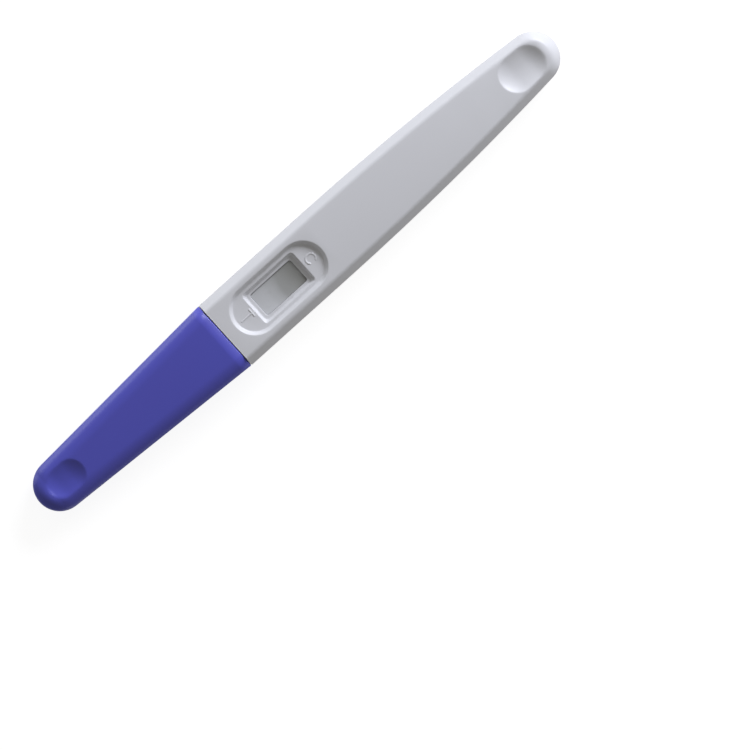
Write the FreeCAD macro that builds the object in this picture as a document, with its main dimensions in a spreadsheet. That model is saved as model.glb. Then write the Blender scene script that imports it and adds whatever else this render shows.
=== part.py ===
import FreeCAD, Part
import math
import os
import re

import Sketcher

# Midstream pregnancy test, in millimetres.
# +X runs from the cap to the grip, +Z is the window side, and the origin is on the ground under the middle.
# A two-part housing holds a lateral-flow strip. Its spigot carries a cap that slides off towards -X.

SIZES = (
    # Whole stick
    ("stick_length", 140.0),
    ("body_width", 16.0),
    ("stick_height", 7.8),
    ("cap_length", 50.5),
    ("parting_height", 3.9),
    ("parallel_length", 27.5),
    ("grip_radius", 5.5),
    ("cap_radius", 5.45),
    # Crown and keel: the top face falls and the underside rises towards both tips, first bent, then straight
    ("grip_slope", 1.2),
    ("grip_bend", 42.0),
    ("grip_end_slope", 22.0),
    ("grip_end_bend", 1.4),
    ("grip_end_run", 3.2),
    ("cap_slope", 1.42),
    ("cap_bend", 12.0),
    ("keel_slope", 1.0),
    ("keel_bend", 8.0),
    ("keel_flat_body", 49.5),
    ("keel_flat_cap", 15.5),
    # Edges
    ("crown_bevel", 1.65),
    ("body_blend", 1.2),
    ("cap_blend", 4.0),
    ("keel_bevel", 1.2),
    ("mouth_bevel", 0.14),
    ("seam_bevel", 0.12),
    # Walls
    ("shell_wall", 1.3),
    ("roof_wall", 1.4),
    ("floor_wall", 1.5),
    ("cap_wall", 1.3),
    # Spigot and cap socket
    ("spigot_length", 8.0),
    ("spigot_round", 1.1),
    ("cap_clearance", 0.08),
    ("cap_gap", 0.1),
    ("cap_end_gap", 0.5),
    ("cavity_step", 0.4),
    ("cavity_end_width", 8.8),
    ("cavity_end_height", 4.3),
    ("cavity_corner", 0.9),
    ("cavity_length", 38.5),
    # Window: a stadium recess, a sloped pit in its floor, and an opening in the pit's floor
    ("window_offset", 14.6),
    ("recess_length", 23.4),
    ("recess_width", 10.4),
    ("recess_depth", 0.9),
    ("recess_slope", 38.0),
    ("recess_round", 0.3),
    ("pit_length", 13.6),
    ("pit_width", 7.7),
    ("pit_depth", 0.8),
    ("pit_slope", 34.0),
    ("pit_round", 1.0),
    ("opening_length", 10.9),
    ("opening_width", 5.5),
    ("opening_round", 0.5),
    ("ledge_thickness", 0.6),
    # Lens
    ("lens_border", 1.4),
    ("lens_flange", 0.8),
    ("lens_sink", 0.25),
    ("lens_clearance", 0.04),
    ("frame_wall", 1.0),
    # Thumb dimples
    ("grip_dimple_inset", 8.5),
    ("grip_dimple_length", 10.6),
    ("grip_dimple_width", 7.9),
    ("grip_dimple_depth", 1.0),
    ("cap_dimple_inset", 7.0),
    ("cap_dimple_length", 8.8),
    ("cap_dimple_width", 6.9),
    ("cap_dimple_depth", 0.8),
    # Strip: a card with the pads and the membrane on it
    ("strip_width", 5.5),
    ("strip_clearance", 0.1),
    ("deck_height", 2.2),
    ("strip_end_inset", 28.0),
    ("card_thickness", 0.3),
    ("membrane_length", 25.0),
    ("membrane_thickness", 0.2),
    ("membrane_lead", 2.5),
    ("conjugate_thickness", 0.4),
    ("sink_thickness", 0.8),
    ("pad_overlap", 2.0),
    # Absorbent tip
    ("tip_width", 7.0),
    ("tip_thickness", 2.0),
    ("tip_reach", 20.0),
    ("tip_tail", 6.0),
    ("tip_round", 2.4),
    # Inside of the housing
    ("pin_radius", 0.8),
    ("pin_clearance", 0.04),
    ("pin_spread", 10.2),
    ("pin_inset", 3.5),
    ("pin_pitch", 22.0),
    ("grip_pin_inset", 20.0),
    ("pin_depth", 1.6),
    ("pin_end_gap", 0.2),
    ("boss_wall", 0.6),
    ("hollow_half_width", 5.4),
    ("hollow_end_inset", 22.0),
    ("grip_hollow_height", 1.2),
    ("rib_thickness", 1.0),
    ("rail_height", 1.7),
    ("rail_thickness", 0.8),
    ("press_gap", 0.05),
    ("tip_press_inset", 3.0),
    ("nose_bevel", 0.3),
)

doc = FreeCAD.newDocument("midstream_test")
dims = doc.addObject("Spreadsheet::Sheet", "dims")
for row, (name, size) in enumerate(SIZES, 1):
    dims.set(f"A{row}", name)
    dims.set(f"B{row}", str(size))
    dims.setAlias(f"B{row}", name)
doc.recompute()

ORIGIN = (-1, 1)
LOOKS_UP = 0.8
NEAR = 0.01
DECK_RIBS = 6
BEVEL_SHARE = 0.85
PRESS_RIBS = 3


def rule(text):
    """An expression over the sheet: each word in the text is a size, unless it calls a function."""
    return re.sub(r"[a-z_]+\b(?!\()", r"dims.\g<0>", text)


def value(text):
    """What a rule comes to, in millimetres or degrees."""
    return float(dims.evalExpression(rule(text)))


# Places that several pieces share, as rules
TIP_X = "(stick_length / 2)"
JOINT_X = "(cap_length - stick_length / 2)"
SHOULDER_X = f"({JOINT_X} + cap_gap)"
NOSE_X = f"({SHOULDER_X} - spigot_length)"
WINDOW_X = f"({JOINT_X} + window_offset)"
GRIP_CENTRE_X = f"({TIP_X} - grip_radius)"
CAP_CENTRE_X = f"(cap_radius - {TIP_X})"
HALF_WIDTH = "(body_width / 2)"
ROOF_Z = "(stick_height - roof_wall)"
RECESS_Z = "(stick_height - recess_depth)"
LEDGE_Z = f"({RECESS_Z} - pit_depth)"
LENS_SEAT_Z = f"({LEDGE_Z} - ledge_thickness)"
SPIGOT_HALF = f"({HALF_WIDTH} - cap_wall - cap_clearance)"
SPIGOT_TOP = "(stick_height - cap_wall - cap_clearance)"
SPIGOT_FOOT = "(cap_wall + cap_clearance)"
CARD_TOP = "(deck_height + card_thickness)"
MEMBRANE_X = f"({WINDOW_X} - opening_length / 2 - membrane_lead)"
MEMBRANE_END = f"({MEMBRANE_X} + membrane_length)"
CARD_X = f"({SHOULDER_X} + shell_wall + strip_clearance)"
CARD_END = f"({TIP_X} - strip_end_inset)"
TIP_FOOT = f"({CARD_TOP} + conjugate_thickness)"
TIP_TOP = f"({TIP_FOOT} + tip_thickness)"
GRIP_DIMPLE_X = f"({TIP_X} - grip_dimple_inset)"
GRIP_FALL_X = f"({JOINT_X} + parallel_length)"
GRIP_STRAIGHT = f"({GRIP_DIMPLE_X} - {GRIP_FALL_X} - grip_bend)"
GRIP_TOP = f"(stick_height - grip_bend * tan(grip_slope / 2) - {GRIP_STRAIGHT} * tan(grip_slope))"
GRIP_END_X = f"({TIP_X} - grip_end_run)"
GRIP_END_TOP = f"({GRIP_TOP} - ({GRIP_END_X} - {GRIP_DIMPLE_X}) * tan(grip_slope))"
GRIP_END_DROP = "(grip_end_bend * tan(grip_end_slope / 2) + (grip_end_run - grip_end_bend) * tan(grip_end_slope))"
GRIP_END_WALL = f"({GRIP_END_TOP} - {GRIP_END_DROP} - parting_height)"
CAP_DIMPLE_X = f"(cap_dimple_inset - {TIP_X})"
CAP_STRAIGHT = f"({JOINT_X} - {CAP_DIMPLE_X} - cap_bend)"
CAP_TOP = f"(stick_height - cap_bend * tan(cap_slope / 2) - {CAP_STRAIGHT} * tan(cap_slope))"


def new_body(label):
    body = doc.addObject("PartDesign::Body", label)
    body.Label = label
    return body


def origin_feature(body, role):
    return next(item for item in body.Origin.OriginFeatures if item.Role == role)


def new_sketch(body, name, role, level="0"):
    """A sketch on one of the body's own origin planes, lifted along the plane's normal."""
    sketch = body.newObject("Sketcher::SketchObject", name)
    sketch.AttachmentSupport = [(origin_feature(body, role), "")]
    sketch.MapMode = "FlatFace"
    sketch.setExpression("AttachmentOffset.Base.z", rule(level))
    return sketch


def bind(sketch, kind, items, text):
    """Adds a dimension that follows a rule."""
    number = sketch.addConstraint(Sketcher.Constraint(kind, *items, value(text)))
    sketch.setExpression(f"Constraints[{number}]", rule(text))


def place(sketch, geometry, vertex, x_rule, y_rule):
    bind(sketch, "DistanceX", (*ORIGIN, geometry, vertex), x_rule)
    bind(sketch, "DistanceY", (*ORIGIN, geometry, vertex), y_rule)


def draw_polygon(sketch, corners):
    """A closed run of straight lines through corners given as pairs of rules."""
    first = sketch.GeometryCount
    count = len(corners)
    points = [FreeCAD.Vector(value(x), value(y), 0) for x, y in corners]
    for start, end in zip(points, points[1:] + points[:1]):
        sketch.addGeometry(Part.LineSegment(start, end), False)
    for step, (x_rule, y_rule) in enumerate(corners):
        following = first + (step + 1) % count
        sketch.addConstraint(Sketcher.Constraint("Coincident", first + step, 2, following, 1))
        place(sketch, first + step, 1, x_rule, y_rule)


def draw_rectangle(sketch, left, right, low, high):
    draw_polygon(sketch, [(left, low), (right, low), (right, high), (left, high)])


def draw_cut_rectangle(sketch, half, low, high, corner):
    """A rectangle about the centre line with its four corners cut off."""
    near, far, foot, head = f"({half} - {corner})", half, f"({low} + {corner})", f"({high} - {corner})"
    draw_polygon(sketch, [(f"-{near}", low), (near, low), (far, foot), (far, head),
                          (near, high), (f"-{near}", high), (f"-{far}", head), (f"-{far}", foot)])


def draw_circle(sketch, x_rule, y_rule, radius):
    centre = FreeCAD.Vector(value(x_rule), value(y_rule), 0)
    circle = Part.Circle(centre, FreeCAD.Vector(0, 0, 1), value(radius))
    number = sketch.addGeometry(circle, False)
    bind(sketch, "Radius", (number,), radius)
    place(sketch, number, 3, x_rule, y_rule)


def arc(centre, radius, start, end):
    """An anticlockwise arc between two angles."""
    circle = Part.Circle(FreeCAD.Vector(*centre, 0), FreeCAD.Vector(0, 0, 1), radius)
    return Part.ArcOfCircle(circle, start, end)


def line(start, end):
    return Part.LineSegment(FreeCAD.Vector(*start, 0), FreeCAD.Vector(*end, 0))


def draw_stadium(sketch, centre_x, length, width):
    """Two half circles joined by straight sides along X."""
    radius = value(width) / 2
    left = value(f"{centre_x} - {length} / 2 + {width} / 2")
    right = value(f"{centre_x} + {length} / 2 - {width} / 2")
    sketch.addGeometry(line((left, -radius), (right, -radius)), False)
    sketch.addGeometry(arc((right, 0), radius, -math.pi / 2, math.pi / 2), False)
    sketch.addGeometry(line((right, radius), (left, radius)), False)
    sketch.addGeometry(arc((left, 0), radius, math.pi / 2, 3 * math.pi / 2), False)
    sketch.addConstraint(Sketcher.Constraint("Tangent", 0, 2, 1, 1))
    sketch.addConstraint(Sketcher.Constraint("Tangent", 1, 2, 2, 1))
    sketch.addConstraint(Sketcher.Constraint("Tangent", 2, 2, 3, 1))
    sketch.addConstraint(Sketcher.Constraint("Tangent", 3, 2, 0, 1))
    place(sketch, 1, 3, f"{centre_x} + {length} / 2 - {width} / 2", "0")
    place(sketch, 3, 3, f"{centre_x} - {length} / 2 + {width} / 2", "0")
    bind(sketch, "Radius", (1,), f"{width} / 2")


def draw_body_outline(sketch, start_x, half_width, tip_radius):
    """Parallel sides, then long arcs that meet the round grip end."""
    side_x = f"{JOINT_X} + parallel_length"
    start, side, centre = value(start_x), value(side_x), value(GRIP_CENTRE_X)
    half, tip = value(half_width), value(tip_radius)
    reach = centre - side
    bend = (reach ** 2 + half ** 2 - tip ** 2) / (2 * (half - tip))
    turn = math.atan2(reach, bend - half)
    sketch.addGeometry(line((start, -half), (side, -half)), False)
    sketch.addGeometry(arc((side, bend - half), bend, -math.pi / 2, turn - math.pi / 2), False)
    sketch.addGeometry(arc((centre, 0), tip, turn - math.pi / 2, math.pi / 2 - turn), False)
    sketch.addGeometry(arc((side, half - bend), bend, math.pi / 2 - turn, math.pi / 2), False)
    sketch.addGeometry(line((side, half), (start, half)), False)
    sketch.addGeometry(line((start, half), (start, -half)), False)
    for number in range(4):
        sketch.addConstraint(Sketcher.Constraint("Tangent", number, 2, number + 1, 1))
    sketch.addConstraint(Sketcher.Constraint("Coincident", 4, 2, 5, 1))
    sketch.addConstraint(Sketcher.Constraint("Coincident", 5, 2, 0, 1))
    sketch.addConstraint(Sketcher.Constraint("Horizontal", 0))
    sketch.addConstraint(Sketcher.Constraint("Horizontal", 4))
    place(sketch, 0, 1, start_x, f"-{half_width}")
    place(sketch, 5, 1, start_x, half_width)
    bind(sketch, "DistanceX", (*ORIGIN, 0, 2), side_x)
    bind(sketch, "DistanceX", (*ORIGIN, 4, 1), side_x)
    bind(sketch, "Radius", (2,), tip_radius)
    place(sketch, 2, 3, GRIP_CENTRE_X, "0")


def draw_cap_outline(sketch):
    """Straight sides that narrow from the mouth to the round cap end."""
    start, half = value(JOINT_X), value(HALF_WIDTH)
    centre, tip = value(CAP_CENTRE_X), value("cap_radius")
    distance = math.hypot(start - centre, half)
    angle = math.atan2(half, start - centre) + math.acos(tip / distance)
    touch = (centre + tip * math.cos(angle), tip * math.sin(angle))
    sketch.addGeometry(line((start, half), touch), False)
    sketch.addGeometry(arc((centre, 0), tip, angle, 2 * math.pi - angle), False)
    sketch.addGeometry(line((touch[0], -touch[1]), (start, -half)), False)
    sketch.addGeometry(line((start, -half), (start, half)), False)
    sketch.addConstraint(Sketcher.Constraint("Tangent", 0, 2, 1, 1))
    sketch.addConstraint(Sketcher.Constraint("Tangent", 1, 2, 2, 1))
    sketch.addConstraint(Sketcher.Constraint("Coincident", 2, 2, 3, 1))
    sketch.addConstraint(Sketcher.Constraint("Coincident", 3, 2, 0, 1))
    place(sketch, 0, 1, JOINT_X, HALF_WIDTH)
    place(sketch, 3, 1, JOINT_X, f"-{HALF_WIDTH}")
    bind(sketch, "Radius", (1,), "cap_radius")
    place(sketch, 1, 3, CAP_CENTRE_X, "0")


def draw_fall(sketch, flat_x, end_x, level, bend, slope, run, drop):
    """The region beyond a face that bends away from level at flat_x and then goes on straight to end_x.

    run is 1 towards +X and -1 towards -X. drop is 1 for a face that falls and -1 for one that rises.
    """
    x0, x1, z0 = value(flat_x), value(end_x), value(level)
    turn = math.radians(value(slope))
    radius = value(bend) / math.sin(turn)
    quarter = drop * math.pi / 2
    angles = sorted((quarter, quarter - drop * run * turn))
    curve = arc((x0, z0 - drop * radius), radius, *angles)
    starts_flat = abs(curve.StartPoint.x - x0) < NEAR
    flat_end, bent_end = (1, 2) if starts_flat else (2, 1)
    bent = curve.EndPoint if starts_flat else curve.StartPoint
    z1 = bent.y - drop * abs(x1 - bent.x) * math.tan(turn)
    z_out = f"{level} + {drop}"
    sketch.addGeometry(curve, False)
    sketch.addGeometry(line((bent.x, bent.y), (x1, z1)), False)
    sketch.addGeometry(line((x1, z1), (x1, value(z_out))), False)
    sketch.addGeometry(line((x1, value(z_out)), (x0, value(z_out))), False)
    sketch.addGeometry(line((x0, value(z_out)), (x0, z0)), False)
    sketch.addConstraint(Sketcher.Constraint("Tangent", 0, bent_end, 1, 1))
    sketch.addConstraint(Sketcher.Constraint("Coincident", 1, 2, 2, 1))
    sketch.addConstraint(Sketcher.Constraint("Coincident", 2, 2, 3, 1))
    sketch.addConstraint(Sketcher.Constraint("Coincident", 3, 2, 4, 1))
    sketch.addConstraint(Sketcher.Constraint("Coincident", 4, 2, 0, flat_end))
    place(sketch, 0, flat_end, flat_x, level)
    bind(sketch, "DistanceX", (*ORIGIN, 0, 3), flat_x)
    bind(sketch, "DistanceX", (*ORIGIN, 0, bent_end), f"{flat_x} + {run} * {bend}")
    bind(sketch, "Radius", (0,), f"{bend} / sin({slope})")
    bind(sketch, "DistanceX", (*ORIGIN, 1, 2), end_x)
    place(sketch, 2, 2, end_x, z_out)
    place(sketch, 3, 2, flat_x, z_out)


def pad(body, sketch, length, reverse=False, both=False):
    feature = body.newObject("PartDesign::Pad", f"{sketch.Name}_pad")
    feature.Profile = sketch
    feature.setExpression("Length", rule(length))
    feature.Reversed = reverse
    feature.SideType = "Symmetric" if both else "One side"
    doc.recompute()
    return feature


def pocket(body, sketch, depth, reverse=False, both=False, slope="0"):
    """Cuts the sketch out of the body, and checks that it really took something away."""
    before = body.Shape.Volume
    feature = body.newObject("PartDesign::Pocket", f"{sketch.Name}_cut")
    feature.Profile = sketch
    feature.setExpression("Length", rule(depth))
    feature.setExpression("TaperAngle", rule(slope))
    feature.Reversed = reverse
    feature.SideType = "Symmetric" if both else "One side"
    doc.recompute()
    if not body.Shape.Volume < before:
        raise RuntimeError(f"{feature.Name} cuts nothing")
    return feature


def dress(body, kind, name, edges, amount):
    """A chamfer or fillet on the named edges of the body's last feature."""
    base = body.Tip
    feature = body.newObject(f"PartDesign::{kind}", name)
    feature.Base = (base, edges)
    feature.setExpression("Size" if kind == "Chamfer" else "Radius", rule(amount))
    doc.recompute()
    return feature


def edge_names(shape, wanted):
    return [f"Edge{number}" for number, edge in enumerate(shape.Edges, 1) if wanted(edge)]


def rim_names(shape, direction, joint_x):
    """The edges round the faces that look up (1) or down (-1), apart from those in the joint plane."""
    uses = {}
    for face in shape.Faces:
        u_low, u_high, v_low, v_high = face.ParameterRange
        normal = face.normalAt((u_low + u_high) / 2, (v_low + v_high) / 2)
        if normal.z * direction < LOOKS_UP:
            continue
        for edge in face.Edges:
            uses[edge.hashCode()] = uses.get(edge.hashCode(), 0) + 1

    def wanted(edge):
        box = edge.BoundBox
        at_joint = box.XLength < NEAR and abs(box.XMin - joint_x) < NEAR
        return uses.get(edge.hashCode()) == 1 and not at_joint

    return edge_names(shape, wanted)


def joint_names(shape, joint_x, skip_z=None):
    """The edges in the joint plane, apart from one at the height skip_z."""
    def wanted(edge):
        box = edge.BoundBox
        at_joint = box.XLength < NEAR and abs(box.XMin - joint_x) < NEAR
        skipped = skip_z is not None and box.ZLength < NEAR and abs(box.ZMin - skip_z) < NEAR
        return at_joint and not skipped

    return edge_names(shape, wanted)


def level_names(shape, level, half_width):
    """The level edges at a height that lie within a half width of the centre line."""
    def wanted(edge):
        box = edge.BoundBox
        flat = box.ZLength < NEAR and abs(box.ZMin - level) < NEAR
        return flat and max(abs(box.YMin), abs(box.YMax)) < half_width + NEAR and box.XMin > value(SHOULDER_X) + 1

    return edge_names(shape, wanted)


def upright_names(shape, low, high):
    """The edges that run from one height to another."""
    def wanted(edge):
        box = edge.BoundBox
        return abs(box.ZMin - value(low)) < NEAR and abs(box.ZMax - value(high)) < NEAR

    return edge_names(shape, wanted)


def spanning_names(shape, low_x, high_x):
    """The edges that run between two places along X."""
    def wanted(edge):
        box = edge.BoundBox
        return abs(box.XMin - value(low_x)) < NEAR and abs(box.XMax - value(high_x)) < NEAR

    return edge_names(shape, wanted)


def draw_capsule(sketch, run, radius):
    """The lower half of a capsule's outline, with the closing line on the sketch's X axis."""
    half_run, bend = value(run), value(radius)
    sketch.addGeometry(arc((-half_run, 0), bend, math.pi, 3 * math.pi / 2), False)
    sketch.addGeometry(line((-half_run, -bend), (half_run, -bend)), False)
    sketch.addGeometry(arc((half_run, 0), bend, 3 * math.pi / 2, 2 * math.pi), False)
    sketch.addGeometry(line((half_run + bend, 0), (-half_run - bend, 0)), False)
    sketch.addConstraint(Sketcher.Constraint("Tangent", 0, 2, 1, 1))
    sketch.addConstraint(Sketcher.Constraint("Tangent", 1, 2, 2, 1))
    sketch.addConstraint(Sketcher.Constraint("Coincident", 2, 2, 3, 1))
    sketch.addConstraint(Sketcher.Constraint("Coincident", 3, 2, 0, 1))
    place(sketch, 0, 3, f"-({run})", "0")
    place(sketch, 2, 3, run, "0")
    bind(sketch, "Radius", (0,), radius)
    sketch.addConstraint(Sketcher.Constraint("Equal", 0, 2))
    sketch.addConstraint(Sketcher.Constraint("PointOnObject", 0, 1, -1))
    sketch.addConstraint(Sketcher.Constraint("PointOnObject", 2, 2, -1))


def add_dimple(body, prefix, centre_x, level, tilt):
    """A thumb dimple: a capsule sunk into the top face and tilted with it, turned about its own axis."""
    width, depth = f"{prefix}_dimple_width", f"{prefix}_dimple_depth"
    radius = f"(({width} / 2)^2 + {depth}^2) / (2 * {depth})"
    sketch = body.newObject("Sketcher::SketchObject", f"{prefix}_dimple")
    sketch.AttachmentSupport = [(origin_feature(body, "XZ_Plane"), "")]
    sketch.MapMode = "FlatFace"
    sketch.AttachmentOffset = FreeCAD.Placement(
        FreeCAD.Vector(value(centre_x), value(f"{level} - {depth} + {radius}"), 0),
        FreeCAD.Rotation(FreeCAD.Vector(0, 0, 1), value(tilt)))
    sketch.setExpression("AttachmentOffset.Base.x", rule(centre_x))
    sketch.setExpression("AttachmentOffset.Base.y", rule(f"{level} - {depth} + {radius}"))
    sketch.setExpression("AttachmentOffset.Rotation.Angle", rule(tilt))
    draw_capsule(sketch, f"{prefix}_dimple_length / 2 - {width} / 2", radius)
    before = body.Shape.Volume
    groove = body.newObject("PartDesign::Groove", f"{prefix}_dimple_cut")
    groove.Profile = sketch
    groove.ReferenceAxis = (sketch, ["H_Axis"])
    groove.Angle = 180
    groove.Midplane = True
    doc.recompute()
    if not body.Shape.Volume < before - NEAR:
        raise RuntimeError(f"{prefix} dimple cuts nothing")


def make_housing_block(label, low, high, direction):
    """The solid outer form of one half of the housing: direction is 1 for the top half, -1 for the bottom."""
    body = new_body(label)
    outline = new_sketch(body, f"{label}_outline", "XY_Plane", low)
    draw_body_outline(outline, SHOULDER_X, HALF_WIDTH, "grip_radius")
    pad(body, outline, f"{high} - {low}")
    fall = new_sketch(body, f"{label}_fall", "XZ_Plane")
    if direction > 0:
        draw_fall(fall, GRIP_FALL_X, TIP_X, high, "grip_bend", "grip_slope", 1, 1)
    else:
        draw_fall(fall, f"{JOINT_X} + keel_flat_body", TIP_X, low, "keel_bend", "keel_slope", 1, -1)
    pocket(body, fall, "body_width * 2", both=True)
    shoulder = value(SHOULDER_X)
    if direction > 0:
        end_fall = new_sketch(body, f"{label}_end_fall", "XZ_Plane")
        draw_fall(end_fall, GRIP_END_X, TIP_X, GRIP_END_TOP, "grip_end_bend", "grip_end_slope", 1, 1)
        pocket(body, end_fall, "body_width * 2", both=True)
        bevel = f"min(crown_bevel; {GRIP_END_WALL} * {BEVEL_SHARE})"
        dress(body, "Chamfer", f"{label}_bevel", rim_names(body.Shape, 1, shoulder), bevel)
        dress(body, "Fillet", f"{label}_blend", rim_names(body.Shape, 1, shoulder), "body_blend")
    else:
        dress(body, "Chamfer", f"{label}_keel", rim_names(body.Shape, -1, shoulder), "keel_bevel")
    dress(body, "Chamfer", f"{label}_seam", rim_names(body.Shape, -direction, shoulder), "seam_bevel")
    shoulder_edges = joint_names(body.Shape, shoulder, value("parting_height"))
    dress(body, "Chamfer", f"{label}_shoulder", shoulder_edges, "mouth_bevel")
    return body


def add_spigot(body, low, high, direction):
    """One half of the reduced neck that the cap slides onto."""
    section = new_sketch(body, f"{body.Label}_spigot", "YZ_Plane", f"{SHOULDER_X} + shell_wall")
    draw_rectangle(section, f"-{SPIGOT_HALF}", SPIGOT_HALF, low, high)
    pad(body, section, "spigot_length + shell_wall", reverse=True)
    outer_z = value(high if direction > 0 else low)
    nose = value(NOSE_X)

    def long_outer(edge):
        box = edge.BoundBox
        flat = box.YLength < NEAR and box.ZLength < NEAR
        return flat and abs(box.ZMin - outer_z) < NEAR and box.XMin < nose + NEAR

    dress(body, "Fillet", f"{body.Label}_spigot_round", edge_names(body.Shape, long_outer), "spigot_round")
    nose_edges = joint_names(body.Shape, nose, value("parting_height"))
    dress(body, "Chamfer", f"{body.Label}_nose", nose_edges, "nose_bevel")


def add_block(body, name, level, height, draw, *arguments, reverse=False):
    """A straight-sided pad that rises (or hangs, if reversed) from a level by a height."""
    sketch = new_sketch(body, name, "XY_Plane", level)
    draw(sketch, *arguments)
    return pad(body, sketch, height, reverse=reverse)


def cut_block(body, name, level, depth, draw, *arguments, upward=False, slope="0"):
    """A pocket that goes down (or up) from a level by a depth."""
    sketch = new_sketch(body, name, "XY_Plane", level)
    draw(sketch, *arguments)
    return pocket(body, sketch, depth, reverse=upward, slope=slope)


def draw_pins(sketch, radius):
    """Two rows of pins beside the strip, and one on the centre line in the grip."""
    for station in range(3):
        for side in ("-", ""):
            draw_circle(sketch, f"{SHOULDER_X} + pin_inset + pin_pitch * {station}",
                        f"{side}pin_spread / 2", radius)
    draw_circle(sketch, f"{TIP_X} - grip_pin_inset", "0", radius)


def rib_place(number):
    """Where a rib stands along the strip: the ribs share its length evenly, counted from the grip end."""
    return f"({CARD_END} - ({CARD_END} - {CARD_X}) * {number + 0.5} / {DECK_RIBS})"


def around(centre, length):
    """The two ends of a length about a centre."""
    return f"{centre} - ({length}) / 2", f"{centre} + ({length}) / 2"


def make_upper_shell():
    body = make_housing_block("upper_shell", "parting_height", "stick_height", 1)
    add_spigot(body, "parting_height", SPIGOT_TOP, 1)
    hollow_x = f"{SHOULDER_X} + shell_wall"
    hollow_end = f"{TIP_X} - hollow_end_inset"

    # The hollow is low at the grip, where the crown falls, and high along the strip
    cut_block(body, "grip_hollow", "parting_height", "grip_hollow_height", draw_body_outline,
              hollow_x, f"({HALF_WIDTH} - shell_wall)", "grip_radius - shell_wall", upward=True)
    cut_block(body, "strip_hollow", "parting_height", f"{ROOF_Z} - parting_height", draw_rectangle,
              hollow_x, hollow_end, "-hollow_half_width", "hollow_half_width", upward=True)

    # Thicker roof behind the recess, the frame that holds the lens, and the back of the thumb dimple
    well_z = f"({RECESS_Z} - shell_wall)"
    add_block(body, "recess_back", well_z, f"{RECESS_Z} - {well_z}", draw_stadium,
              WINDOW_X, "recess_length", "recess_width")
    frame_length = "opening_length + 2 * (lens_border + lens_clearance + frame_wall)"
    frame_width = "opening_width + 2 * (lens_border + lens_clearance + frame_wall)"
    lens_foot = f"({LENS_SEAT_Z} - lens_flange)"
    add_block(body, "lens_frame", lens_foot, f"{RECESS_Z} - {lens_foot}", draw_rectangle,
              *around(WINDOW_X, frame_length), *around("0", frame_width))
    add_block(body, "dimple_back", f"{GRIP_TOP} - grip_dimple_depth - shell_wall", "shell_wall",
              draw_stadium, GRIP_DIMPLE_X, "(grip_dimple_length - shell_wall)", "(grip_dimple_width - shell_wall)")

    # The window, from the outside in
    cut_block(body, "recess", "stick_height", "recess_depth", draw_stadium,
              WINDOW_X, "recess_length", "recess_width", slope="-recess_slope")
    for name, level in (("recess_rim", "stick_height"), ("recess_floor", RECESS_Z)):
        edges = level_names(body.Shape, value(level), value("recess_width") / 2)
        dress(body, "Fillet", name, edges, "recess_round")
    cut_block(body, "pit", RECESS_Z, "pit_depth", draw_rectangle,
              *around(WINDOW_X, "pit_length"), *around("0", "pit_width"), slope="-pit_slope")
    dress(body, "Fillet", "pit_corners", upright_names(body.Shape, LEDGE_Z, RECESS_Z), "pit_round")
    cut_block(body, "opening", LEDGE_Z, "ledge_thickness", draw_rectangle,
              *around(WINDOW_X, "opening_length"), *around("0", "opening_width"))
    dress(body, "Fillet", "opening_corners", upright_names(body.Shape, LENS_SEAT_Z, LEDGE_Z), "opening_round")
    seat_length = "opening_length + 2 * (lens_border + lens_clearance)"
    seat_width = "opening_width + 2 * (lens_border + lens_clearance)"
    cut_block(body, "lens_seat", lens_foot, "lens_flange", draw_rectangle,
              *around(WINDOW_X, seat_length), *around("0", seat_width), upward=True)
    add_dimple(body, "grip", GRIP_DIMPLE_X, GRIP_TOP, "-grip_slope")

    # Pins down into the lower shell, and ribs that press on the tip and the strip
    add_block(body, "pins", "parting_height - pin_depth", f"{ROOF_Z} - parting_height + pin_depth",
              draw_pins, "pin_radius")
    add_block(body, "tip_rib", f"{TIP_TOP} + press_gap", f"{ROOF_Z} - {TIP_TOP} - press_gap", draw_rectangle,
              *around(f"{SHOULDER_X} + tip_press_inset", "rib_thickness"),
              "-hollow_half_width", "hollow_half_width")
    sink_top = f"({CARD_TOP} + sink_thickness)"
    for number in range(PRESS_RIBS):
        add_block(body, f"strip_rib_{number}", f"{sink_top} + press_gap", f"{ROOF_Z} - {sink_top} - press_gap",
                  draw_rectangle, *around(rib_place(number), "rib_thickness"), *around("0", "strip_width"))

    # The half of the channel that the absorbent tip lies in
    channel = new_sketch(body, "tip_channel_top", "YZ_Plane", f"{SHOULDER_X} + shell_wall")
    draw_rectangle(channel, *around("0", "tip_width + 2 * strip_clearance"), "parting_height",
                   f"{TIP_TOP} + press_gap")
    pocket(body, channel, "spigot_length + shell_wall")
    return body


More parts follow.
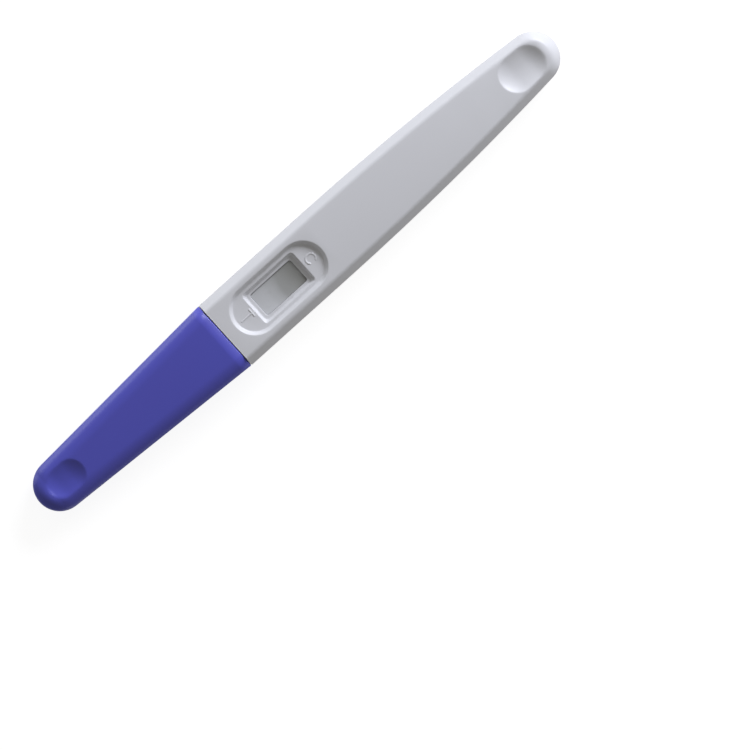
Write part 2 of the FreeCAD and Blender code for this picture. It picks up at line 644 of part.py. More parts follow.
def make_lower_shell():
    body = make_housing_block("lower_shell", "0", "parting_height", -1)
    add_spigot(body, SPIGOT_FOOT, "parting_height", -1)
    hollow_x = f"{SHOULDER_X} + shell_wall"
    cut_block(body, "strip_tray", "parting_height", "parting_height - floor_wall", draw_body_outline,
              hollow_x, f"({HALF_WIDTH} - shell_wall)", "grip_radius - shell_wall")

    # Rails beside the strip, a stop behind it, and ribs across that carry the card
    rail_x = f"{SHOULDER_X} + tip_tail + rib_thickness / 2"
    rail_end = f"{CARD_END} + strip_clearance + rib_thickness"
    rail_in = "(strip_width / 2 + strip_clearance)"
    rail_out = f"({rail_in} + rail_thickness)"
    add_block(body, "rail_left", "floor_wall", "rail_height", draw_rectangle,
              rail_x, rail_end, rail_in, rail_out)
    add_block(body, "rail_right", "floor_wall", "rail_height", draw_rectangle,
              rail_x, rail_end, f"-{rail_out}", f"-{rail_in}")
    add_block(body, "strip_stop", "floor_wall", "rail_height", draw_rectangle,
              f"{CARD_END} + strip_clearance", rail_end, f"-{rail_out}", rail_out)
    for number in range(DECK_RIBS):
        add_block(body, f"deck_rib_{number}", "floor_wall", "deck_height - floor_wall", draw_rectangle,
                  *around(rib_place(number), "rib_thickness"), f"-{rail_out}", rail_out)

    # Sockets for the upper shell's pins
    socket_radius = "pin_radius + pin_clearance"
    add_block(body, "bosses", "floor_wall", "parting_height - floor_wall - pin_end_gap",
              draw_pins, f"{socket_radius} + boss_wall")
    cut_block(body, "sockets", "parting_height", "pin_depth + pin_end_gap", draw_pins, socket_radius)

    # The other half of the channel for the absorbent tip
    channel = new_sketch(body, "tip_channel_foot", "YZ_Plane", f"{SHOULDER_X} + shell_wall")
    draw_rectangle(channel, *around("0", "tip_width + 2 * strip_clearance"), TIP_FOOT, "parting_height")
    pocket(body, channel, "spigot_length + shell_wall")
    return body


def make_cap():
    body = new_body("cap")
    outline = new_sketch(body, "cap_outline", "XY_Plane")
    draw_cap_outline(outline)
    pad(body, outline, "stick_height")
    crown = new_sketch(body, "cap_crown", "XZ_Plane")
    draw_fall(crown, JOINT_X, f"-{TIP_X}", "stick_height", "cap_bend", "cap_slope", -1, 1)
    pocket(body, crown, "body_width * 2", both=True)
    keel = new_sketch(body, "cap_keel", "XZ_Plane")
    draw_fall(keel, f"{JOINT_X} - keel_flat_cap", f"-{TIP_X}", "0", "keel_bend", "keel_slope", -1, -1)
    pocket(body, keel, "body_width * 2", both=True)
    mouth = value(JOINT_X)
    dress(body, "Chamfer", "cap_crown_bevel", rim_names(body.Shape, 1, mouth), "crown_bevel")
    dress(body, "Fillet", "cap_crown_blend", rim_names(body.Shape, 1, mouth), "cap_blend")
    dress(body, "Chamfer", "cap_keel_bevel", rim_names(body.Shape, -1, mouth), "keel_bevel")
    dress(body, "Chamfer", "cap_mouth", joint_names(body.Shape, mouth), "mouth_bevel")

    # The straight socket that fits the spigot
    socket_end = f"{NOSE_X} - cap_end_gap"
    socket = new_sketch(body, "cap_socket", "YZ_Plane", JOINT_X)
    socket_half = f"({HALF_WIDTH} - cap_wall)"
    draw_rectangle(socket, f"-{socket_half}", socket_half, "cap_wall", "stick_height - cap_wall")
    pocket(body, socket, f"{JOINT_X} - ({socket_end})")
    corners = spanning_names(body.Shape, socket_end, JOINT_X)
    dress(body, "Fillet", "cap_socket_corners", corners, "spigot_round + cap_clearance")

    # The cavity beyond it, which narrows with the cap and clears the absorbent tip
    cavity_end = f"{JOINT_X} - cavity_length"
    wide = new_sketch(body, "cavity_start", "YZ_Plane", socket_end)
    wide_half = f"({socket_half} - cavity_step)"
    draw_cut_rectangle(wide, wide_half, "cap_wall + cavity_step", "stick_height - cap_wall - cavity_step",
                       "cavity_corner")
    narrow = new_sketch(body, "cavity_finish", "YZ_Plane", cavity_end)
    draw_cut_rectangle(narrow, "(cavity_end_width / 2)", *around("parting_height", "cavity_end_height"),
                       "cavity_corner")
    before = body.Shape.Volume
    loft = body.newObject("PartDesign::SubtractiveLoft", "cavity")
    loft.Profile = wide
    loft.Sections = [narrow]
    doc.recompute()
    if not body.Shape.Volume < before:
        raise RuntimeError("the cap's cavity cuts nothing")
    add_dimple(body, "cap", CAP_DIMPLE_X, CAP_TOP, "cap_slope")
    return body


def make_window_lens():
    """A stepped pane: a flange behind the ledge and a raised middle in the opening."""
    body = new_body("window_lens")
    foot = f"({LENS_SEAT_Z} - lens_flange)"
    add_block(body, "lens_rim", foot, "lens_flange", draw_rectangle,
              *around(WINDOW_X, "opening_length + 2 * lens_border"),
              *around("0", "opening_width + 2 * lens_border"))
    pane_height = "ledge_thickness - lens_sink"
    add_block(body, "pane", LENS_SEAT_Z, pane_height, draw_rectangle,
              *around(WINDOW_X, "opening_length - 2 * lens_clearance"),
              *around("0", "opening_width - 2 * lens_clearance"))
    pane_edges = upright_names(body.Shape, LENS_SEAT_Z, f"{LENS_SEAT_Z} + {pane_height}")
    dress(body, "Fillet", "pane_corners", pane_edges, "opening_round - lens_clearance")
    return body


def make_absorbent_tip():
    body = new_body("absorbent_tip")
    front = f"{NOSE_X} - tip_reach"
    add_block(body, "fibre", TIP_FOOT, "tip_thickness", draw_rectangle,
              front, f"{SHOULDER_X} + tip_tail", *around("0", "tip_width"))
    front_x = value(front)

    def front_corner(edge):
        return edge.BoundBox.XMax < front_x + NEAR and edge.BoundBox.YLength < NEAR

    dress(body, "Fillet", "round_tip", edge_names(body.Shape, front_corner), "tip_round")
    return body


def make_layer(label, corners):
    """One layer of the strip: a side profile, as wide as the strip."""
    body = new_body(label)
    profile = new_sketch(body, f"{label}_profile", "XZ_Plane")
    draw_polygon(profile, corners)
    pad(body, profile, "strip_width", both=True)
    return body


def make_strip():
    """The card with the membrane on it, and a pad that laps over each end of the membrane."""
    sheet_top = f"({CARD_TOP} + membrane_thickness)"
    pad_top = f"({CARD_TOP} + conjugate_thickness)"
    sink_top = f"({CARD_TOP} + sink_thickness)"
    conjugate_end = f"{MEMBRANE_X} + pad_overlap"
    sink_start = f"{MEMBRANE_END} - pad_overlap"
    card = make_layer("backing_card", [
        (CARD_X, "deck_height"), (CARD_END, "deck_height"), (CARD_END, CARD_TOP), (CARD_X, CARD_TOP)])
    membrane = make_layer("membrane", [
        (MEMBRANE_X, CARD_TOP), (MEMBRANE_END, CARD_TOP), (MEMBRANE_END, sheet_top), (MEMBRANE_X, sheet_top)])
    conjugate = make_layer("conjugate_pad", [
        (CARD_X, CARD_TOP), (MEMBRANE_X, CARD_TOP), (MEMBRANE_X, sheet_top), (conjugate_end, sheet_top),
        (conjugate_end, f"{pad_top} + membrane_thickness"), (MEMBRANE_X, f"{pad_top} + membrane_thickness"),
        (f"{MEMBRANE_X} - membrane_thickness", pad_top), (CARD_X, pad_top)])
    sink = make_layer("sink_pad", [
        (sink_start, sheet_top), (MEMBRANE_END, sheet_top), (MEMBRANE_END, CARD_TOP), (CARD_END, CARD_TOP),
        (CARD_END, sink_top), (f"{MEMBRANE_END} + membrane_thickness", sink_top),
        (MEMBRANE_END, f"{sink_top} + membrane_thickness"), (sink_start, f"{sink_top} + membrane_thickness")])
    return [card, membrane, conjugate, sink]


pieces = [make_cap(), make_upper_shell(), make_lower_shell(), make_window_lens(), make_absorbent_tip()]
pieces += make_strip()
doc.recompute()

for item in doc.Objects:
    if "Invalid" in item.State or "Error" in item.State:
        raise RuntimeError(f"{item.Name} failed: {item.State}")
for piece in pieces:
    if piece.Shape.isNull() or not piece.Shape.isValid() or len(piece.Shape.Solids) != 1:
        raise RuntimeError(f"{piece.Label} is not one valid solid")

os.makedirs("parts", exist_ok=True)
for piece in pieces:
    piece.Shape.exportStep(f"parts/{piece.Label}.step")
    box = piece.Shape.BoundBox
    print(f"{piece.Label}: {piece.Shape.Volume:.1f} mm3, X {box.XMin:.2f} to {box.XMax:.2f}, "
          f"Y {box.YMin:.2f} to {box.YMax:.2f}, Z {box.ZMin:.2f} to {box.ZMax:.2f}")
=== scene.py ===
import bpy
import bmesh
import math
from mathutils import Matrix, Vector


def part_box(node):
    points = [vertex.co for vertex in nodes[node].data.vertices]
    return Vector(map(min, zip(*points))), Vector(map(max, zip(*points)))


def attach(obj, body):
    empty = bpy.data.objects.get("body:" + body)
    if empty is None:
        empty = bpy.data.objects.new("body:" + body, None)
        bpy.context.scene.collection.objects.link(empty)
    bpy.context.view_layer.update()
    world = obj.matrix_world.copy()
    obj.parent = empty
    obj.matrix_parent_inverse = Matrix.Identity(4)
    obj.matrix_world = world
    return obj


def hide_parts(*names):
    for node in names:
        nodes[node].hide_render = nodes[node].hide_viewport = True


# Midstream pregnancy test: looks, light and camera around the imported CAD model.
# Lengths are in metres. +X runs to the grip, +Z is the window side, and the stick lies on the floor.
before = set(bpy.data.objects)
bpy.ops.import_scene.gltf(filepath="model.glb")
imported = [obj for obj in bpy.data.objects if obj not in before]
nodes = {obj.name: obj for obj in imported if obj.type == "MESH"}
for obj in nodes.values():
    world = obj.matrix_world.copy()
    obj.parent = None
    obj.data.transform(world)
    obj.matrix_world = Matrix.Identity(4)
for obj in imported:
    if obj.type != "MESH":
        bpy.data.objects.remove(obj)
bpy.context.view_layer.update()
MM = 0.001

# Places taken from the CAD nodes
RECESS_DEPTH = 0.9 * MM
lens_low, lens_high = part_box("window_lens")
shell_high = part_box("upper_shell")[1]
window_x = (lens_low.x + lens_high.x) / 2
recess_z = shell_high.z - RECESS_DEPTH
centre = Vector((0.0, 0.0, shell_high.z / 2))


# Node helpers
def new_material(name):
    """A material, its node tree and its shader."""
    material = bpy.data.materials.new(name)
    material.use_nodes = True
    tree = material.node_tree
    return material, tree, tree.nodes["Principled BSDF"]


def add(tree, kind, inputs=None, **settings):
    """A node with its settings and its inputs, where an input is a value or another node's output."""
    node = tree.nodes.new(kind)
    for name, setting in settings.items():
        setattr(node, name, setting)
    for name, given in (inputs or {}).items():
        if isinstance(given, bpy.types.NodeSocket):
            tree.links.new(given, node.inputs[name])
        else:
            node.inputs[name].default_value = given
    return node


def noise(tree, scale, detail=2.0, roughness=0.5, stretch=(1.0, 1.0, 1.0)):
    """Noise over the object's own coordinates. Scale is in patterns to a metre."""
    place = add(tree, "ShaderNodeTexCoord")
    mapping = add(tree, "ShaderNodeMapping", {"Vector": place.outputs["Object"], "Scale": stretch})
    return add(tree, "ShaderNodeTexNoise", {
        "Vector": mapping.outputs["Vector"], "Scale": scale, "Detail": detail, "Roughness": roughness,
    }).outputs["Fac"]


def ramp(tree, factor, low, high, from_low=0.0, from_high=1.0, kind="LINEAR"):
    """The factor moved from one range to another."""
    return add(tree, "ShaderNodeMapRange", {
        "Value": factor, "From Min": from_low, "From Max": from_high, "To Min": low, "To Max": high,
    }, interpolation_type=kind).outputs["Result"]


def along(tree, axis):
    """The object's own coordinate along an axis, in metres."""
    place = add(tree, "ShaderNodeTexCoord")
    return add(tree, "ShaderNodeSeparateXYZ", {"Vector": place.outputs["Object"]}).outputs[axis]


def calculate(tree, operation, first, second):
    """The result of an operation on two values or node outputs."""
    return add(tree, "ShaderNodeMath", {0: first, 1: second}, operation=operation).outputs["Value"]


def curve(tree, factor, stops):
    """A value that runs straight from stop to stop, each a pair of a place and the value there."""
    total = stops[0][1]
    for (start, first), (end, second) in zip(stops, stops[1:]):
        total = calculate(tree, "ADD", total, ramp(tree, factor, 0.0, second - first, start, end))
    return total


def mix_colour(tree, factor, first, second):
    """A colour between two colours, each given as a value or another node's output."""
    node = add(tree, "ShaderNodeMix", data_type="RGBA")
    tree.links.new(factor, node.inputs["Factor"])
    for socket, colour in ((node.inputs["A"], first), (node.inputs["B"], second)):
        if isinstance(colour, bpy.types.NodeSocket):
            tree.links.new(colour, socket)
        else:
            socket.default_value = (*colour, 1.0)
    return node.outputs["Result"]


# Moulded plastic: its patterns to a metre, the depths of its relief, and how far its gloss varies
FLOW_SCALE, GLOSS_SCALE, RIPPLE_SCALE, GRAIN_SCALE = 55.0, 240.0, 150.0, 6500.0
RIPPLE_DEPTH, GRAIN_DEPTH = 0.012 * MM, 0.0008 * MM
RIPPLE_STRENGTH = 0.25
GLOSS_SPREAD = 0.05
PLASTIC_IOR = 1.5
BLACK = (0.0, 0.0, 0.0)


def moulded_plastic(name, colour, shade, roughness, edge_radii, swells=(), painted_shade=()):
    """Satin moulded plastic: a faint flow in the colour, uneven gloss, a fine grain and softened edges.

    edge_radii gives the edges' radius at places along X. swells gives slight rises of the surface, each
    from one place along X to another by a height, and falls where the height is negative. All are in
    millimetres. painted_shade gives the share of the colour darkened as painted shade, at places along X.
    """
    material, tree, shader = new_material(name)
    flow = noise(tree, FLOW_SCALE, detail=3.0, roughness=0.55, stretch=(0.35, 1.0, 1.0))
    base = mix_colour(tree, ramp(tree, flow, 0.0, 1.0, 0.3, 0.7), shade, colour)
    # Painted shade: the colour darkened towards black at the given places along X
    if painted_shade:
        stops = [(place * MM, share) for place, share in painted_shade]
        base = mix_colour(tree, curve(tree, along(tree, "X"), stops), base, BLACK)
    tree.links.new(base, shader.inputs["Base Color"])
    gloss = noise(tree, GLOSS_SCALE, detail=4.0, roughness=0.6)
    uneven = ramp(tree, gloss, roughness - GLOSS_SPREAD, roughness + GLOSS_SPREAD)
    tree.links.new(uneven, shader.inputs["Roughness"])
    grain = noise(tree, GRAIN_SCALE, detail=2.0, roughness=0.6)
    ripple = noise(tree, RIPPLE_SCALE, detail=1.0, roughness=0.4)
    stops = [(place * MM, radius * MM) for place, radius in edge_radii]
    edges = add(tree, "ShaderNodeBevel", {"Radius": curve(tree, along(tree, "X"), stops)}, samples=12)
    form = edges.outputs["Normal"]
    for start, end, height in swells:
        rise = ramp(tree, along(tree, "X"), 0.0, height * MM, start * MM, end * MM, "SMOOTHSTEP")
        swollen = add(tree, "ShaderNodeBump", {"Distance": 1.0, "Height": rise, "Normal": form})
        form = swollen.outputs["Normal"]
    waves = add(tree, "ShaderNodeBump", {
        "Strength": RIPPLE_STRENGTH, "Distance": RIPPLE_DEPTH, "Height": ripple, "Normal": form})
    bump = add(tree, "ShaderNodeBump", {
        "Strength": 1.0, "Distance": GRAIN_DEPTH, "Height": grain, "Normal": waves.outputs["Normal"]})
    tree.links.new(bump.outputs["Normal"], shader.inputs["Normal"])
    shader.inputs["IOR"].default_value = PLASTIC_IOR
    return material


WHITE, WHITE_SHADE = (0.649, 0.657, 0.679), (0.634, 0.642, 0.664)
BLUE, BLUE_SHADE = (0.077, 0.087, 0.48), (0.082, 0.083, 0.46)
CARD, CARD_SHADE = (0.8, 0.8, 0.8), (0.78, 0.78, 0.78)
HOUSING_ROUGHNESS, CAP_ROUGHNESS, CARD_ROUGHNESS = 0.42, 0.3, 0.35

# Housing: edges crisp at the joint, softer round the window, softest from the thumb dimple to the grip's end,
# slight falls at the joint and before the window, and painted shade darkening the grip's end
HOUSING_EDGES = (
    (-19.4, 0.03), (-18.4, 0.2), (-12.0, 0.2), (-11.0, 0.45), (0.8, 0.45), (2.5, 0.2),
    (54.0, 0.2), (56.0, 0.4), (62.0, 0.7), (65.5, 1.0))
HOUSING_SWELLS = ((-19.5, -19.15, -0.2), (-17.0, -9.5, -0.08))
GRIP_PAINTED_SHADE = ((64.0, 0.0), (68.5, 0.09))

# Cap: edges softest from its round end to its dimple, and slight falls at the round end and the mouth
CAP_EDGES = ((-66.0, 1.3), (-62.0, 1.0), (-56.0, 0.6), (-54.0, 0.15), (-22.0, 0.15), (-20.0, 0.2))
CAP_SWELLS = ((-70.6, -66.3, -1.15), (-21.6, -17.5, -1.25))

# Raised marks and the strip's card: one radius on all edges
MARK_EDGES = ((0.0, 0.02),)
CARD_EDGES = ((0.0, 0.05),)

housing_plastic = moulded_plastic(
    "housing_plastic", WHITE, WHITE_SHADE, HOUSING_ROUGHNESS, HOUSING_EDGES, HOUSING_SWELLS, GRIP_PAINTED_SHADE)
mark_plastic = moulded_plastic("mark_plastic", WHITE, WHITE_SHADE, HOUSING_ROUGHNESS, MARK_EDGES)
cap_plastic = moulded_plastic("cap_plastic", BLUE, BLUE_SHADE, CAP_ROUGHNESS, CAP_EDGES, CAP_SWELLS)

# Lens: its painted shadow along the window, as the share of the painted lit colour at places in millimetres
# from the window's middle, and its painted shade at the window's two sides, its painted lit and shaded
# colours and its smudges' colour, the scales of its patterns, to a metre, and its surface
LENS_PAINTED_SHADOW = (
    (-5.2, 0.92), (-3.5, 0.92), (-2.6, 0.88), (-1.8, 0.74), (-1.0, 0.66), (-0.2, 0.52), (0.6, 0.27),
    (2.2, 0.15), (3.9, 0.02), (4.85, 0.05), (5.1, 0.5), (5.5, 0.9))
LENS_PAINTED_LIT, LENS_PAINTED_SHADE, LENS_SMUDGE = (0.595, 0.61, 0.63), (0.272, 0.276, 0.262), (0.22, 0.22, 0.21)
LENS_PAINTED_SIDE_SHADE = (1.06, 0.82)
LENS_HALF_WIDTH = 2.4 * MM
TONE_DRIFT = 0.4 * MM
SMUDGE_SHARE = 0.16
LENS_ROUGHNESS = (0.3, 0.42)
CLOUD_SCALE, SMUDGE_SCALE, FROST_SCALE = 190.0, 520.0, 9000.0
FROST_DEPTH = 0.0015 * MM
LENS_EDGE = 0.12 * MM
LENS_IOR = 1.49


def frosted_lens():
    """Frosted translucent plastic with painted light and shade: painted lit towards the cap and in painted
    shadow towards the grip, with faint smudges.
    """
    material, tree, shader = new_material("lens_plastic")
    cloud = noise(tree, CLOUD_SCALE, detail=2.0, roughness=0.5)
    smudge = noise(tree, SMUDGE_SCALE, detail=4.0, roughness=0.65)
    # Painted shadow along the window, its edge drifting with a cloud, and painted shade across the window's
    # sides
    place = calculate(tree, "ADD", along(tree, "X"), ramp(tree, cloud, -TONE_DRIFT, TONE_DRIFT, 0.3, 0.7))
    stops = [(window_x + step * MM, share) for step, share in LENS_PAINTED_SHADOW]
    across = ramp(tree, along(tree, "Y"), *LENS_PAINTED_SIDE_SHADE, -LENS_HALF_WIDTH, LENS_HALF_WIDTH)
    light = calculate(tree, "MULTIPLY", curve(tree, place, stops), across)
    base = mix_colour(tree, light, LENS_PAINTED_SHADE, LENS_PAINTED_LIT)
    smudged = mix_colour(tree, ramp(tree, smudge, 0.0, SMUDGE_SHARE, 0.6, 0.8), base, LENS_SMUDGE)
    tree.links.new(smudged, shader.inputs["Base Color"])
    tree.links.new(ramp(tree, smudge, *LENS_ROUGHNESS), shader.inputs["Roughness"])
    frost = noise(tree, FROST_SCALE, detail=2.0, roughness=0.6)
    edges = add(tree, "ShaderNodeBevel", {"Radius": LENS_EDGE}, samples=6)
    bump = add(tree, "ShaderNodeBump", {
        "Strength": 1.0, "Distance": FROST_DEPTH, "Height": frost, "Normal": edges.outputs["Normal"]})
    tree.links.new(bump.outputs["Normal"], shader.inputs["Normal"])
    shader.inputs["IOR"].default_value = LENS_IOR
    return material


# Pressed fibre: how its two patterns are scaled along X, Y and Z, and its surface
LENGTHWISE, CROSSING = (0.16, 2.2, 2.2), (1.3, 0.7, 1.3)
FIBRE_SURFACE = (("Roughness", 0.92), ("Sheen Weight", 0.25), ("Sheen Roughness", 0.5))
RELIEF_STRENGTH = 0.8


def fibre(name, colour, shade, scale, depth):
    """Pressed fibre: fine threads, most of them lengthwise, in the colour and the relief."""
    material, tree, shader = new_material(name)
    lengthwise = noise(tree, scale, detail=5.0, roughness=0.65, stretch=LENGTHWISE)
    crossing = noise(tree, scale, detail=5.0, roughness=0.65, stretch=CROSSING)
    both = calculate(tree, "MAXIMUM", lengthwise, crossing)
    threads = mix_colour(tree, ramp(tree, both, 0.0, 1.0, 0.4, 0.75), shade, colour)
    tree.links.new(threads, shader.inputs["Base Color"])
    bump = add(tree, "ShaderNodeBump", {"Strength": RELIEF_STRENGTH, "Distance": depth, "Height": both})
    tree.links.new(bump.outputs["Normal"], shader.inputs["Normal"])
    for socket, setting in FIBRE_SURFACE:
        shader.inputs[socket].default_value = setting
    return material


lens_plastic = frosted_lens()
tip_fibre = fibre("tip_fibre", (0.8, 0.79, 0.75), (0.62, 0.61, 0.57), scale=900.0, depth=0.05 * MM)
pad_fibre = fibre("pad_fibre", (0.82, 0.81, 0.78), (0.68, 0.67, 0.63), scale=1500.0, depth=0.02 * MM)
membrane_sheet = fibre(
    "membrane_sheet", (0.85, 0.85, 0.85), (0.8, 0.8, 0.8), scale=4000.0, depth=0.004 * MM)
card_plastic = moulded_plastic("card_plastic", CARD, CARD_SHADE, CARD_ROUGHNESS, CARD_EDGES)

FINISHES = {
    "cap": cap_plastic,
    "upper_shell": housing_plastic,
    "lower_shell": housing_plastic,
    "window_lens": lens_plastic,
    "absorbent_tip": tip_fibre,
    "backing_card": card_plastic,
    "conjugate_pad": pad_fibre,
    "membrane": membrane_sheet,
    "sink_pad": pad_fibre,
}

# Shading: how near the seams' points lie to be joined, and the angle from which an edge stays sharp
SEAM = 0.002 * MM
SHARP_ANGLE = math.radians(20.0)


def smooth_by_angle():
    """A modifier's node group that joins the CAD faces' seams and keeps only real edges sharp."""
    group = bpy.data.node_groups.new("smooth_by_angle", "GeometryNodeTree")
    group.interface.new_socket("Geometry", in_out="INPUT", socket_type="NodeSocketGeometry")
    group.interface.new_socket("Geometry", in_out="OUTPUT", socket_type="NodeSocketGeometry")
    start, end = add(group, "NodeGroupInput"), add(group, "NodeGroupOutput")
    merged = add(group, "GeometryNodeMergeByDistance", {"Geometry": start.outputs[0], "Distance": SEAM})
    soft = add(group, "GeometryNodeSetShadeSmooth", {
        "Geometry": merged.outputs["Geometry"], "Shade Smooth": True,
    }, domain="FACE")
    angle = add(group, "GeometryNodeInputMeshEdgeAngle")
    sharp = add(group, "FunctionNodeCompare", {
        0: angle.outputs["Unsigned Angle"], 1: SHARP_ANGLE,
    }, data_type="FLOAT", operation="GREATER_THAN")
    edged = add(group, "GeometryNodeSetShadeSmooth", {
        "Geometry": soft.outputs["Geometry"], "Selection": sharp.outputs["Result"], "Shade Smooth": False,
    }, domain="EDGE")
    group.links.new(edged.outputs["Geometry"], end.inputs[0])
    return group


smoothing = smooth_by_angle()
for name, material in FINISHES.items():
    node = nodes[name]
    node.data.materials.clear()
    node.data.materials.append(material)
    modifier = node.modifiers.new("smooth", "NODES")
    modifier.node_group = smoothing

# Raised letters T and C in the recess: a stroke's width, height, cross-section and round ends
STROKE = 0.54 * MM
RELIEF = 0.09 * MM
PROFILE_STEPS = 6
PROFILE = [
    (step / PROFILE_STEPS, 0.5 + 0.5 * math.cos(math.pi * step / PROFILE_STEPS))
    for step in range(-PROFILE_STEPS, PROFILE_STEPS + 1)]
ROUND_END = [math.radians(angle) for angle in (80, 60, 40, 20)]


def stroke_rings(path, half, height):
    """Rings of a rounded ridge along a path of points on the recess floor, with round ends."""
    lead, tail = (path[1] - path[0]).normalized(), (path[-1] - path[-2]).normalized()
    stations = [(path[0] - lead * half * math.sin(angle), lead, math.cos(angle)) for angle in ROUND_END]
    for step, point in enumerate(path):
        ahead = path[min(step + 1, len(path) - 1)] - path[max(step - 1, 0)]
        stations.append((point, ahead.normalized(), 1.0))
    for angle in ROUND_END[::-1]:
        stations.append((path[-1] + tail * half * math.sin(angle), tail, math.cos(angle)))
    sunk = Vector((0.0, 0.0, height / 2))
    rings = []
    for point, ahead, size in stations:
        side = Vector((-ahead.y, ahead.x, 0.0)) * half * size
        ridge = [point + side * across + Vector((0.0, 0.0, height * up * size)) for across, up in PROFILE]
        rings.append([point - side - sunk, *ridge, point + side - sunk])
    return rings


def raised_letter(name, paths, body):
    """A letter of rounded ridges, closed at both ends, that rides on a body."""
    mesh = bmesh.new()
    for path in paths:
        rings = [[mesh.verts.new(point) for point in ring] for ring in stroke_rings(path, STROKE / 2, RELIEF)]
        for first, second in zip(rings, rings[1:]):
            for step in range(len(first)):
                following = (step + 1) % len(first)
                mesh.faces.new((first[step], first[following], second[following], second[step]))
        mesh.faces.new(rings[0][::-1])
        mesh.faces.new(rings[-1])
    bmesh.ops.recalc_face_normals(mesh, faces=mesh.faces)
    data = bpy.data.meshes.new(name)
    mesh.to_mesh(data)
    mesh.free()
    data.materials.append(mark_plastic)
    for face in data.polygons:
        face.use_smooth = True
    letter = bpy.data.objects.new(name, data)
    bpy.context.scene.collection.objects.link(letter)
    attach(letter, body)


def straight(start, end, count=6):
    """Points on the recess floor along a straight run."""
    first, last = Vector((*start, recess_z)), Vector((*end, recess_z))
    return [first.lerp(last, step / (count - 1)) for step in range(count)]


def bow(middle, radius_x, radius_y, start, end, count=40):
    """Points on the recess floor along an elliptical arc, between two angles in degrees."""
    points = []
    for step in range(count):
        angle = math.radians(start + (end - start) * step / (count - 1))
        x = middle[0] + radius_x * math.cos(angle)
        y = middle[1] + radius_y * math.sin(angle)
        points.append(Vector((x, y, recess_z)))
    return points


# T: the middle of its bar, half the bar's length, the stem's length and how far the stem leans
t_x, t_y = window_x - 7.43 * MM, -0.11 * MM
T_HALF_BAR = 0.78 * MM
T_STEM = 2.63 * MM
T_LEAN = 0.05 * MM
raised_letter("letter_T", [
    straight((t_x, t_y - T_HALF_BAR), (t_x, t_y + T_HALF_BAR)),
    straight((t_x - T_STEM, t_y - T_LEAN), (t_x, t_y)),
], "stick")

# C: its middle, its radii, and the angles where its stroke starts and ends
c_middle = (window_x + 8.75 * MM, 0.07 * MM)
C_RADII = (1.08 * MM, 1.0 * MM)
C_ANGLES = (-50.0, 222.0)
raised_letter("letter_C", [bow(c_middle, *C_RADII, *C_ANGLES)], "stick")

# Absorbent tip: the CAD solid's form with softened edges and a fibrous surface
WICK_VOXEL = 0.22 * MM
wick = bpy.data.objects.new("wick", nodes["absorbent_tip"].data.copy())
bpy.context.scene.collection.objects.link(wick)
wick.data.materials.clear()
wick.data.materials.append(tip_fibre)
remesh = wick.modifiers.new("remesh", "REMESH")
remesh.mode = "VOXEL"
remesh.voxel_size = WICK_VOXEL
remesh.use_smooth_shade = True
soften = wick.modifiers.new("soften", "SMOOTH")
soften.factor = 0.5
soften.iterations = 6
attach(wick, "stick")
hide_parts("absorbent_tip")

# Floor: a pale plane that shows as white to the camera and keeps the stick's shadow
FLOOR_HALF = 3
FLOOR_ROUGHNESS = 0.9
FLOOR_PALE, FLOOR_UNLIT = (0.72, 0.705, 0.68), (0.2, 0.2, 0.2)
FLOOR_GLOW = 0.9
WHITE_LIGHT = (1.0, 1.0, 1.0)
corners = [(x * FLOOR_HALF, y * FLOOR_HALF, 0) for x, y in ((-1, -1), (1, -1), (1, 1), (-1, 1))]
floor_mesh = bpy.data.meshes.new("floor")
floor_mesh.from_pydata(corners, [], [(0, 1, 2, 3)])
floor = bpy.data.objects.new("floor", floor_mesh)
bpy.context.scene.collection.objects.link(floor)
floor_material, tree, shader = new_material("floor_paper")
shader.inputs["Roughness"].default_value = FLOOR_ROUGHNESS
path = add(tree, "ShaderNodeLightPath")
seen = calculate(tree, "MAXIMUM", path.outputs["Is Camera Ray"], path.outputs["Is Glossy Ray"])
seen = calculate(tree, "MAXIMUM", seen, path.outputs["Is Transmission Ray"])
tree.links.new(mix_colour(tree, seen, FLOOR_PALE, FLOOR_UNLIT), shader.inputs["Base Color"])
shader.inputs["Emission Color"].default_value = (*WHITE_LIGHT, 1.0)
tree.links.new(calculate(tree, "MULTIPLY", seen, FLOOR_GLOW), shader.inputs["Emission Strength"])
floor_mesh.materials.append(floor_material)

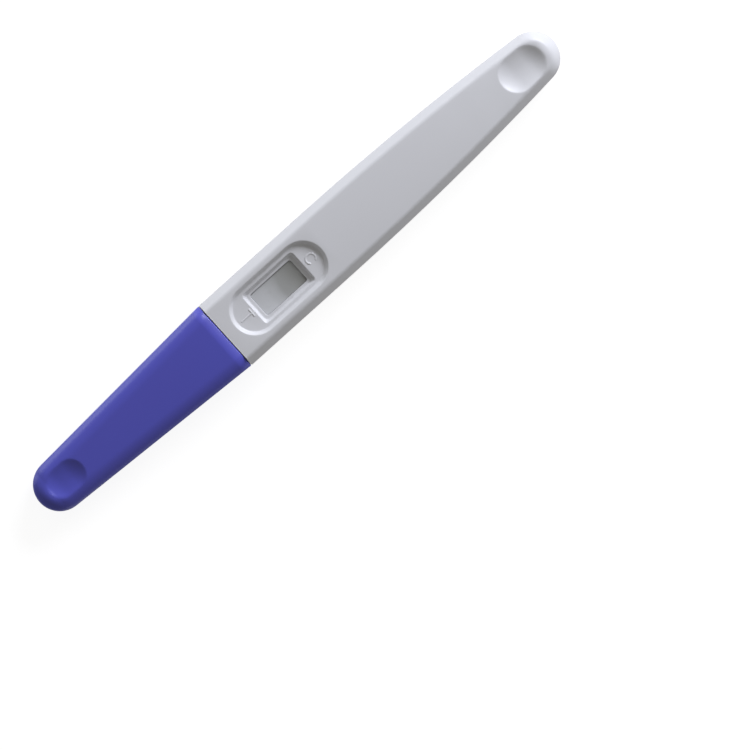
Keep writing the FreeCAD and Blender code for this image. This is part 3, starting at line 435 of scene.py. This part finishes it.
# World: an even pale room, white where the camera looks past the floor
ROOM = (0.262, 0.254, 0.241)
world = bpy.data.worlds.new("room")
bpy.context.scene.world = world
world.use_nodes = True
tree = world.node_tree
background = tree.nodes["Background"]
path = add(tree, "ShaderNodeLightPath")
seen = calculate(tree, "MAXIMUM", path.outputs["Is Camera Ray"], path.outputs["Is Transmission Ray"])
tree.links.new(mix_colour(tree, seen, ROOM, WHITE_LIGHT), background.inputs["Color"])

# Lamps: both stand at one distance from the stick's middle
LAMP_DISTANCE = 0.9


def area_light(name, direction, size, watts, colour):
    """A soft rectangular lamp that looks at the stick from a direction."""
    data = bpy.data.lights.new(name, "AREA")
    data.shape = "RECTANGLE"
    data.size, data.size_y = size
    data.energy = watts
    data.color = colour
    lamp = bpy.data.objects.new(name, data)
    bpy.context.scene.collection.objects.link(lamp)
    way = Vector(direction).normalized()
    lamp.location = centre + way * LAMP_DISTANCE
    lamp.rotation_mode = "QUATERNION"
    lamp.rotation_quaternion = way.to_track_quat("Z", "Y")


area_light("key", direction=(0.96, 0.35, 0.46), size=(0.6, 0.35), watts=10.4, colour=(0.9, 0.915, 1.0))
area_light("side", direction=(0.0, 1.0, 0.18), size=(0.8, 0.3), watts=1.8, colour=(0.93, 0.96, 1.0))

# Camera: nearly overhead, leaning a little to the far side
IMAGE = 750
MM_PER_PIXEL = 0.2029
SENSOR = 36.0
FOCAL_LENGTH = 400.0
TURN = math.radians(41.95)
LEAN_X, LEAN_Y = 0.0052, 0.026
target = Vector((-2.23 * MM, -26.3 * MM, centre.z))
distance = IMAGE * MM_PER_PIXEL * MM * FOCAL_LENGTH / SENSOR
back = Vector((LEAN_X, LEAN_Y - target.y / distance, 1.0)).normalized()
up_hint = Vector((math.sin(TURN), math.cos(TURN), 0.0))
right = up_hint.cross(back).normalized()
up = back.cross(right)
camera_data = bpy.data.cameras.new("camera")
camera_data.lens = FOCAL_LENGTH
camera_data.sensor_width = SENSOR
camera_data.clip_start, camera_data.clip_end = 0.01, 10.0
camera = bpy.data.objects.new("camera", camera_data)
bpy.context.scene.collection.objects.link(camera)
axes = Matrix((right, up, back)).transposed()
camera.matrix_world = Matrix.Translation(target + back * distance) @ axes.to_4x4()
bpy.context.scene.camera = camera

bpy.context.scene.view_settings.view_transform = "Standard"
